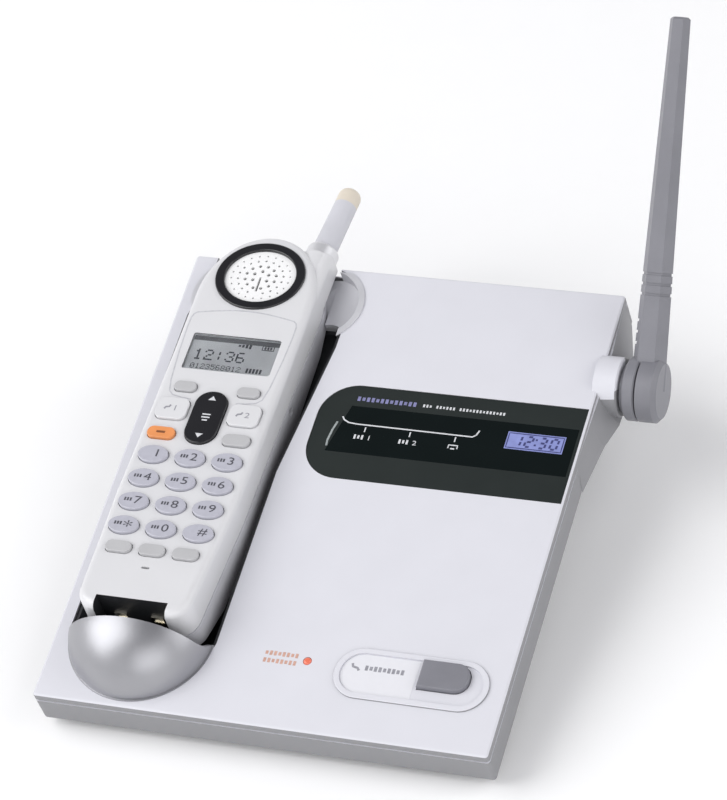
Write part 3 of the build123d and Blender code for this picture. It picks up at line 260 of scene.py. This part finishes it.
def tree_of(names):
    """Search tree over the meshes of some CAD nodes."""
    if names not in trees:
        points, faces = [], []
        for name in names:
            mesh = nodes[name].data
            start = len(points)
            points += [v.co.copy() for v in mesh.vertices]
            faces += [[start + i for i in p.vertices] for p in mesh.polygons]
        trees[names] = BVHTree.FromPolygons(points, faces)
    return trees[names]


def printed(name, body, look, plane, names, shapes, lift=1):
    """Thin closed print laid on the nodes below it, also used for a painted highlight; shapes are lists of
    (points, faces) in mm.
    """
    corner, along, out = plane
    tree = tree_of(names)
    built = bmesh.new()
    for points, faces in shapes:
        tops, bottoms = [], []
        for x, y in points:
            start = corner + Vector((x * MM, 0, 0)) + along * (y * MM) + out * CAST_FROM
            hit = tree.ray_cast(start, -out, CAST_REACH)[0]
            if hit is None:
                raise RuntimeError(f"{name}: no surface below {x:.1f}, {y:.1f}")
            tops.append(built.verts.new(hit + out * PRINT_RISE * lift))
            bottoms.append(built.verts.new(hit - out * PRINT_SINK))
        edges = {}
        for face in faces:
            built.faces.new([tops[i] for i in face])
            built.faces.new([bottoms[i] for i in reversed(face)])
            for a, b in zip(face, face[1:] + face[:1]):
                edges[(a, b)] = True
        for a, b in edges:
            if (b, a) not in edges:
                built.faces.new([tops[b], tops[a], bottoms[a], bottoms[b]])
    bmesh.ops.recalc_face_normals(built, faces=built.faces)
    mesh = bpy.data.meshes.new(name)
    built.to_mesh(mesh)
    built.free()
    piece = bpy.data.objects.new(name, mesh)
    bpy.context.scene.collection.objects.link(piece)
    mesh.materials.append(looks[look])
    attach(piece, body)
    return piece


def path(points, width, closed=False):
    """Ribbon of even width along a line of points, stepped finely enough to follow a curve."""
    ends = points + points[:1] if closed else points
    fine = []
    for (ax, ay), (bx, by) in zip(ends, ends[1:]):
        count = max(1, int(math.hypot(bx - ax, by - ay) / STEP))
        fine += [(ax + (bx - ax) * k / count, ay + (by - ay) * k / count) for k in range(count)]
    if not closed:
        fine.append(ends[-1])
    total = len(fine)
    sides = []
    for i, (x, y) in enumerate(fine):
        before = fine[i - 1] if closed or i else fine[i]
        after = fine[(i + 1) % total] if closed or i < total - 1 else fine[i]
        dx, dy = after[0] - before[0], after[1] - before[1]
        size = math.hypot(dx, dy) or 1
        nx, ny = -dy / size * width / 2, dx / size * width / 2
        sides += [(x + nx, y + ny), (x - nx, y - ny)]
    runs = total if closed else total - 1
    faces = []
    for i in range(runs):
        j = (i + 1) % total
        faces.append([2 * i, 2 * i + 1, 2 * j + 1, 2 * j])
    return sides, faces


def bar(x, y, width, height):
    """Upright rectangle centred on a point."""
    w, h = width / 2, height / 2
    return [(x - w, y - h), (x + w, y - h), (x + w, y + h), (x - w, y + h)], [[0, 1, 2, 3]]


def glyph(text, size, x, y, wide=1.0):
    """Outline of a digit or sign centred on a point."""
    curve = bpy.data.curves.new("glyph", "FONT")
    curve.body = text
    curve.size = size
    curve.resolution_u = 3
    holder = bpy.data.objects.new("glyph", curve)
    mesh = bpy.data.meshes.new_from_object(holder)
    bpy.data.objects.remove(holder)
    bpy.data.curves.remove(curve)
    built = bmesh.new()
    built.from_mesh(mesh)
    bmesh.ops.remove_doubles(built, verts=built.verts, dist=1e-5)
    built.verts.index_update()
    points = [(v.co.x * wide, v.co.y) for v in built.verts]
    faces = [[v.index for v in f.verts] for f in built.faces]
    built.free()
    bpy.data.meshes.remove(mesh)
    mid_x = (min(p[0] for p in points) + max(p[0] for p in points)) / 2
    mid_y = (min(p[1] for p in points) + max(p[1] for p in points)) / 2
    return [(p[0] - mid_x + x, p[1] - mid_y + y) for p in points], faces


SEGMENTS = {
    "0": "abcdef", "1": "bc", "2": "abged", "3": "abgcd", "4": "fgbc", "5": "afgcd",
    "6": "afgedc", "7": "abc", "8": "abcdefg", "9": "abcdfg",
}


def seven(digit, x, y, width, height, stroke):
    """Seven-segment digit as separate bars, leaning slightly to the right."""
    w, h = width / 2, height / 2
    gap = stroke * 0.35
    across_bar = width - stroke - gap
    upright_bar = h - stroke / 2 - gap
    places = {
        "a": (0, h, across_bar, stroke), "g": (0, 0, across_bar, stroke), "d": (0, -h, across_bar, stroke),
        "b": (w, h / 2, stroke, upright_bar), "c": (w, -h / 2, stroke, upright_bar),
        "f": (-w, h / 2, stroke, upright_bar), "e": (-w, -h / 2, stroke, upright_bar),
    }
    shapes = []
    for segment in SEGMENTS[digit]:
        px, py, sx, sy = places[segment]
        points, faces = bar(px, py, sx, sy)
        shapes.append(([(x + a + 0.12 * b, y + b) for a, b in points], faces))
    return shapes


DOTS = {
    "0": "01110 10001 10011 10101 11001 10001 01110", "1": "00100 01100 00100 00100 00100 00100 01110",
    "2": "01110 10001 00001 00110 01000 10000 11111", "3": "01110 10001 00001 00110 00001 10001 01110",
    "5": "11111 10000 11110 00001 00001 10001 01110", "6": "01110 10000 10000 11110 10001 10001 01110",
    "8": "01110 10001 10001 01110 10001 10001 01110", ":": "00000 00100 00100 00000 00100 00100 00000",
}


def dotted(text, x, y, pitch, dot):
    """Row of dot-matrix digits, its left end and middle height at a point."""
    shapes = []
    for place, sign in enumerate(text):
        if sign == " ":
            continue
        for row, cells in enumerate(DOTS[sign].split()):
            for column, cell in enumerate(cells):
                if cell == "1":
                    shapes.append(bar(x + (place * 6 + column) * pitch, y + (3 - row) * pitch, dot, dot))
    return shapes


corner, along, out, low_x, high_x = plate("base_top_cover", "locator_button_press")
HALF_DECK = 90.0
deck_plane = (corner + Vector((low_x + HALF_DECK * MM, 0, 0)), along, out)
BAND_DROP = 2.9 * MM
# Painted shade: the top cover's side faces below the groove get the darker grey that stands for their
# shade.
repaint("base_top_cover", "dark", out, BAND_DROP, 0.5)
corner, along, out, low_x, high_x = plate("handset_front_case", "battery_cover_slide", turn_y=True)
face_plane = (corner + Vector(((low_x + high_x) / 2, 0, 0)), along, out)

# Painted shade: faces of the handset cases inside the bottom notch take the near-black charcoal colour for
# the shade in the recess.
NOTCH_HALF = 14.6 * MM
NOTCH_END = 5.6 * MM
for name in ("handset_front_case", "handset_back_case"):
    mesh = nodes[name].data
    mesh.materials.append(looks["charcoal"])
    for face in mesh.polygons:
        spots = [mesh.vertices[i].co - face_plane[0] for i in face.vertices]
        if all(abs(p.x) < NOTCH_HALF and p.dot(face_plane[1]) < NOTCH_END for p in spots):
            face.material_index = len(mesh.materials) - 1


def place_in(plane, node):
    """Middle of a CAD node in a face's own millimetres."""
    corner, along, out = plane
    points = [v.co - corner for v in nodes[node].data.vertices]
    xs = [p.x / MM for p in points]
    ys = [p.dot(along) / MM for p in points]
    return (min(xs) + max(xs)) / 2, (min(ys) + max(ys)) / 2, max(xs) - min(xs), max(ys) - min(ys)


# window of the base: bracket, lamp marks and the two rows above them
window = ("display_lens", "display_bezel", "base_top_cover")
lamp_xs = (4.0, 22.3, 40.6)
WORD_GAPS = (3, 10)
bracket = [(-6.6, 138.6), (-5.6, 137.2), (-3.4, 136.1), (0, 135.8),
           (47.0, 135.6), (48.3, 136.6), (49.1, 138.8)]
shapes = [path(bracket, 0.55)]
shapes += [bar(x, 133.6, 0.5, 2.2) for x in lamp_xs]
printed("window_bracket", "base", "pale_ink", deck_plane, window, shapes)
shapes = [glyph("1", 3.0, lamp_xs[0] + 2.6, 130.0, 1.2), glyph("2", 3.0, lamp_xs[1] + 2.8, 130.0, 1.2)]
for x in lamp_xs[:2]:
    shapes += [bar(x - 3.2 + 1.5 * k, 130.0, 0.8, 2.0 - 0.5 * (k % 2)) for k in range(3)]
shapes += [path([(lamp_xs[2] - 1.8, 129.4), (lamp_xs[2] - 1.8, 130.9), (lamp_xs[2] + 1.8, 130.9),
                 (lamp_xs[2] + 1.8, 129.4)], 0.5), bar(lamp_xs[2], 129.3, 1.6, 0.6)]
printed("window_lamp_marks", "base", "pale_ink", deck_plane, window, shapes)
shapes = [bar(-2.4 + 1.9 * k, 147.5, 1.2, 2.0 - 0.5 * (k % 3 == 1)) for k in range(13)]
printed("window_lavender_row", "base", "lavender_ink", deck_plane, window, shapes)
shapes = [bar(24.2 + 1.35 * k, 147.4, 0.75, 1.3 - 0.35 * (k % 4 == 2))
          for k in range(25) if k not in WORD_GAPS]
printed("window_white_row", "base", "pale_ink", deck_plane, window, shapes)
# Painted highlight: a light grey streak along the left slanted end of the lens stands for a glint on its
# edge.
printed("window_left_glint", "base", "painted_highlight", deck_plane, window,
        [path([(-8.0, 136.0), (-9.0, 132.0), (-9.6, 127.0), (-9.3, 124.6)], 0.8)])
badge_x, badge_y, badge_w, badge_h = place_in(deck_plane, "display_badge")
shapes = []
for digit, shift in zip("1230", (-6.9, -2.4, 3.0, 7.6)):
    shapes += seven(digit, badge_x + shift, badge_y, 2.6, 4.6, 0.85)
shapes += [bar(badge_x + 0.4, badge_y + 1.2, 0.8, 0.8), bar(badge_x + 0.2, badge_y - 1.2, 0.8, 0.8)]
printed("badge_digits", "base", "badge_ink", deck_plane, ("display_badge",), shapes)
edge = [(badge_x - badge_w / 2 + 0.6, badge_y - badge_h / 2 + 0.6),
        (badge_x + badge_w / 2 - 0.6, badge_y - badge_h / 2 + 0.6),
        (badge_x + badge_w / 2 - 0.6, badge_y + badge_h / 2 - 0.6),
        (badge_x - badge_w / 2 + 0.6, badge_y + badge_h / 2 - 0.6)]
printed("badge_border", "base", "badge_ink", deck_plane, ("display_badge",), [path(edge, 0.4, closed=True)])

# deck: handset pictogram in the pill, charge marks beside the lamp
cover = ("base_top_cover",)
PILL_X, PILL_Y, PILL_HALF, PILL_ROUND = 53.2, 27.4, 27.6, 8.1
button_x, button_y, button_w, button_h = place_in(deck_plane, "locator_button")
turns = [math.radians(-90 + 7.5 * k) for k in range(25)]
rows = []
for turn in turns:
    reach = PILL_HALF - PILL_ROUND + PILL_ROUND * math.cos(turn)
    rows.append((reach, PILL_ROUND * math.sin(turn)))
points, faces = [], []
for reach, rise in rows:
    points += [(PILL_X - reach, PILL_Y + rise), (PILL_X + reach, PILL_Y + rise)]
hole_left = button_x - button_w / 2 - 0.4
panel_right = [(min(x, hole_left), y) for x, y in points]
for k in range(len(rows) - 1):
    faces.append([2 * k, 2 * k + 1, 2 * k + 3, 2 * k + 2])
printed("locator_panel", "base", "panel_ink", deck_plane, cover, [(panel_right, faces)])
mark_x = button_x - button_w / 2 - 12.4
shapes = [bar(mark_x - 7.5 + 1.75 * k, button_y, 1.15, 2.1 - 0.5 * (k % 3 == 1)) for k in range(9)]
pictogram = [(mark_x - 13.3, button_y + 1.3), (mark_x - 12.9, button_y),
             (mark_x - 11.0, button_y - 0.4), (mark_x - 10.2, button_y - 1.4)]
shapes.append(path(pictogram, 0.95))
printed("locator_marks", "base", "grey_ink", deck_plane, cover, shapes, lift=2)
led_x, led_y, led_w, led_h = place_in(deck_plane, "charge_led")
shapes = [bar(led_x - 4.6 - 1.7 * k, led_y + 1.5, 1.1, 1.9 - 0.45 * (k % 3 == 1)) for k in range(8)]
shapes += [bar(led_x - 4.6 - 1.7 * k, led_y - 1.7, 1.1, 1.9 - 0.45 * (k % 3 == 2)) for k in range(8)]
printed("charge_marks", "base", "orange_ink", deck_plane, cover, shapes)

# handset: line round the display, LCD content, key legends
front = ("handset_front_case",)


def face_line():
    """Line round the display from one side of the navigator to the other."""
    lcd_x, lcd_y, lcd_w, lcd_h = place_in(face_plane, "lcd_window")
    arch = [(-20.4 + 40.8 * k / 14, 143.4 + 2.6 * math.sin(math.pi * k / 14)) for k in range(15)]
    left = [(-9.4, 101.4), (-13.5, 101.8), (-17.4, 102.6), (-19.4, 104.4), (-20.6, 110.0), (-21.8, 124.0),
            (-22.3, 136.0), (-22.2, 140.6), (-21.6, 142.4)]
    right = [(-x, y) for x, y in reversed(left)]
    return left + arch + right


printed("face_line", "handset", "line_ink", face_plane, front, [path(face_line(), 0.55)])
lcd_x, lcd_y, lcd_w, lcd_h = place_in(face_plane, "lcd_window")
panel = ("lcd_module",)
shapes = dotted("12:36", lcd_x - 15.6, lcd_y - 0.6, 0.74, 0.7)
printed("lcd_digits", "handset", "ink", face_plane, panel, shapes)
printed("lcd_top_band", "handset", "band_ink", face_plane, panel,
        [bar(lcd_x - 18.0 + 2.0 * k + 1.0, lcd_y + 7.2, 2.02, 2.2) for k in range(18)])
shapes = dotted("0123568012", lcd_x - 15.6, lcd_y - 6.3, 0.36, 0.32)
shapes += [bar(lcd_x + 8.2 + 1.4 * k, lcd_y - 6.3, 0.9, 2.2) for k in range(5)]
printed("lcd_small_row", "handset", "ink", face_plane, panel, shapes)
shapes = [bar(lcd_x + 1.6 + 1.5 * k, lcd_y + 5.2, 1.0, 0.9 + 0.45 * k) for k in range(4)]
shapes += [path([(lcd_x + 11.2, lcd_y + 4.2), (lcd_x + 16.0, lcd_y + 4.2), (lcd_x + 16.0, lcd_y + 6.2),
                 (lcd_x + 11.2, lcd_y + 6.2)], 0.45, closed=True)]
shapes += [bar(lcd_x + 12.4 + 1.2 * k, lcd_y + 5.2, 0.8, 1.2) for k in range(3)]
printed("lcd_icons", "handset", "ink", face_plane, panel, shapes)

dial = {"key_1": "1", "key_2": "2", "key_3": "3", "key_4": "4", "key_5": "5", "key_6": "6", "key_7": "7",
        "key_8": "8", "key_9": "9", "key_star": "*", "key_0": "0", "key_hash": "#"}
for node, sign in dial.items():
    x, y, w, h = place_in(face_plane, node)
    shapes = [glyph(sign, 5.0 if sign != "*" else 7.0, x + 1.8, y + 0.4, 1.3)]
    if sign not in "1#":
        shapes += [bar(x - 3.4 + 1.15 * k, y + 0.4, 0.7, 1.5) for k in range(3)]
    printed("print_" + node, node, "ink", face_plane, (node,), shapes)
for node, sign in (("line_1_key", "1"), ("line_2_key", "2")):
    x, y, w, h = place_in(face_plane, node)
    receiver = [(x - 3.0, y - 0.9), (x - 2.6, y), (x - 1.2, y + 0.3), (x - 0.8, y + 1.2)]
    shapes = [glyph(sign, 3.6, x + 1.4, y, 1.25), path(receiver, 0.8)]
    printed("print_" + node, node, "grey_ink", face_plane, (node,), shapes)
x, y, w, h = place_in(face_plane, "navigator_key")
shapes = []
for sign in (1, -1):
    tip = y + sign * (h / 2 - 3.2)
    points = [(x - 1.6, tip - sign * 2.0), (x + 1.6, tip - sign * 2.0), (x, tip)]
    shapes.append((points, [[0, 1, 2] if sign > 0 else [0, 2, 1]]))
shapes += [bar(x, y + 1.2, 3.4, 0.6), bar(x, y - 0.2, 3.4, 0.6), bar(x, y - 1.6, 2.2, 0.6)]
printed("print_navigator_key", "navigator_key", "pale_ink", face_plane, ("navigator_key",), shapes)
x, y, w, h = place_in(face_plane, "orange_key")
printed("print_orange_key", "orange_key", "brown_ink", face_plane, ("orange_key",), [bar(x, y, 3.6, 1.0)])
# ---- floor and light -------------------------------------------------------------------
bpy.ops.mesh.primitive_plane_add(size=12, location=(0, 0, 0))
floor = bpy.context.object
floor.name = "floor"
floor_paint = material("floor_paint", (0.95, 0.95, 0.95), 0.9, grain=0, mottle=0.004, specular=0.1)
floor.data.materials.append(floor_paint)

world = bpy.data.worlds.new("studio")
bpy.context.scene.world = world
world.use_nodes = True
sky = world.node_tree
place = sky.nodes.new("ShaderNodeTexCoord")
parts = sky.nodes.new("ShaderNodeSeparateXYZ")
fade = sky.nodes.new("ShaderNodeValToRGB")
fade.color_ramp.elements[0].position = 0.35
fade.color_ramp.elements[0].color = (1.0, 1.0, 1.02, 1)
fade.color_ramp.elements[1].position = 0.8
fade.color_ramp.elements[1].color = (0.22, 0.22, 0.24, 1)
sky.links.new(place.outputs["Generated"], parts.inputs["Vector"])
sky.links.new(parts.outputs["Z"], fade.inputs["Fac"])
sky.links.new(fade.outputs["Color"], sky.nodes["Background"].inputs["Color"])
sky.nodes["Background"].inputs["Strength"].default_value = 0.9


def area_light(name, position, target, size, power, colour=(1, 1, 1)):
    data = bpy.data.lights.new(name, "AREA")
    data.shape = "RECTANGLE"
    data.size, data.size_y = size
    data.energy = power
    data.color = colour
    lamp = bpy.data.objects.new(name, data)
    bpy.context.scene.collection.objects.link(lamp)
    lamp.location = position
    lamp.rotation_mode = "QUATERNION"
    lamp.rotation_quaternion = (Vector(target) - Vector(position)).to_track_quat("-Z", "Y")
    return lamp


area_light("key_light", (-1.2, -0.5, 1.4), (0, 0, 0.05), (1.6, 1.6), 27)
area_light("right_light", (1.5, 0.2, 1.2), (0, 0, 0.05), (1.4, 1.4), 10)
area_light("fill_light", (0.7, -1.5, 1.0), (0, 0, 0.05), (1.4, 1.2), 8)
bpy.context.scene.view_settings.view_transform = "Standard"
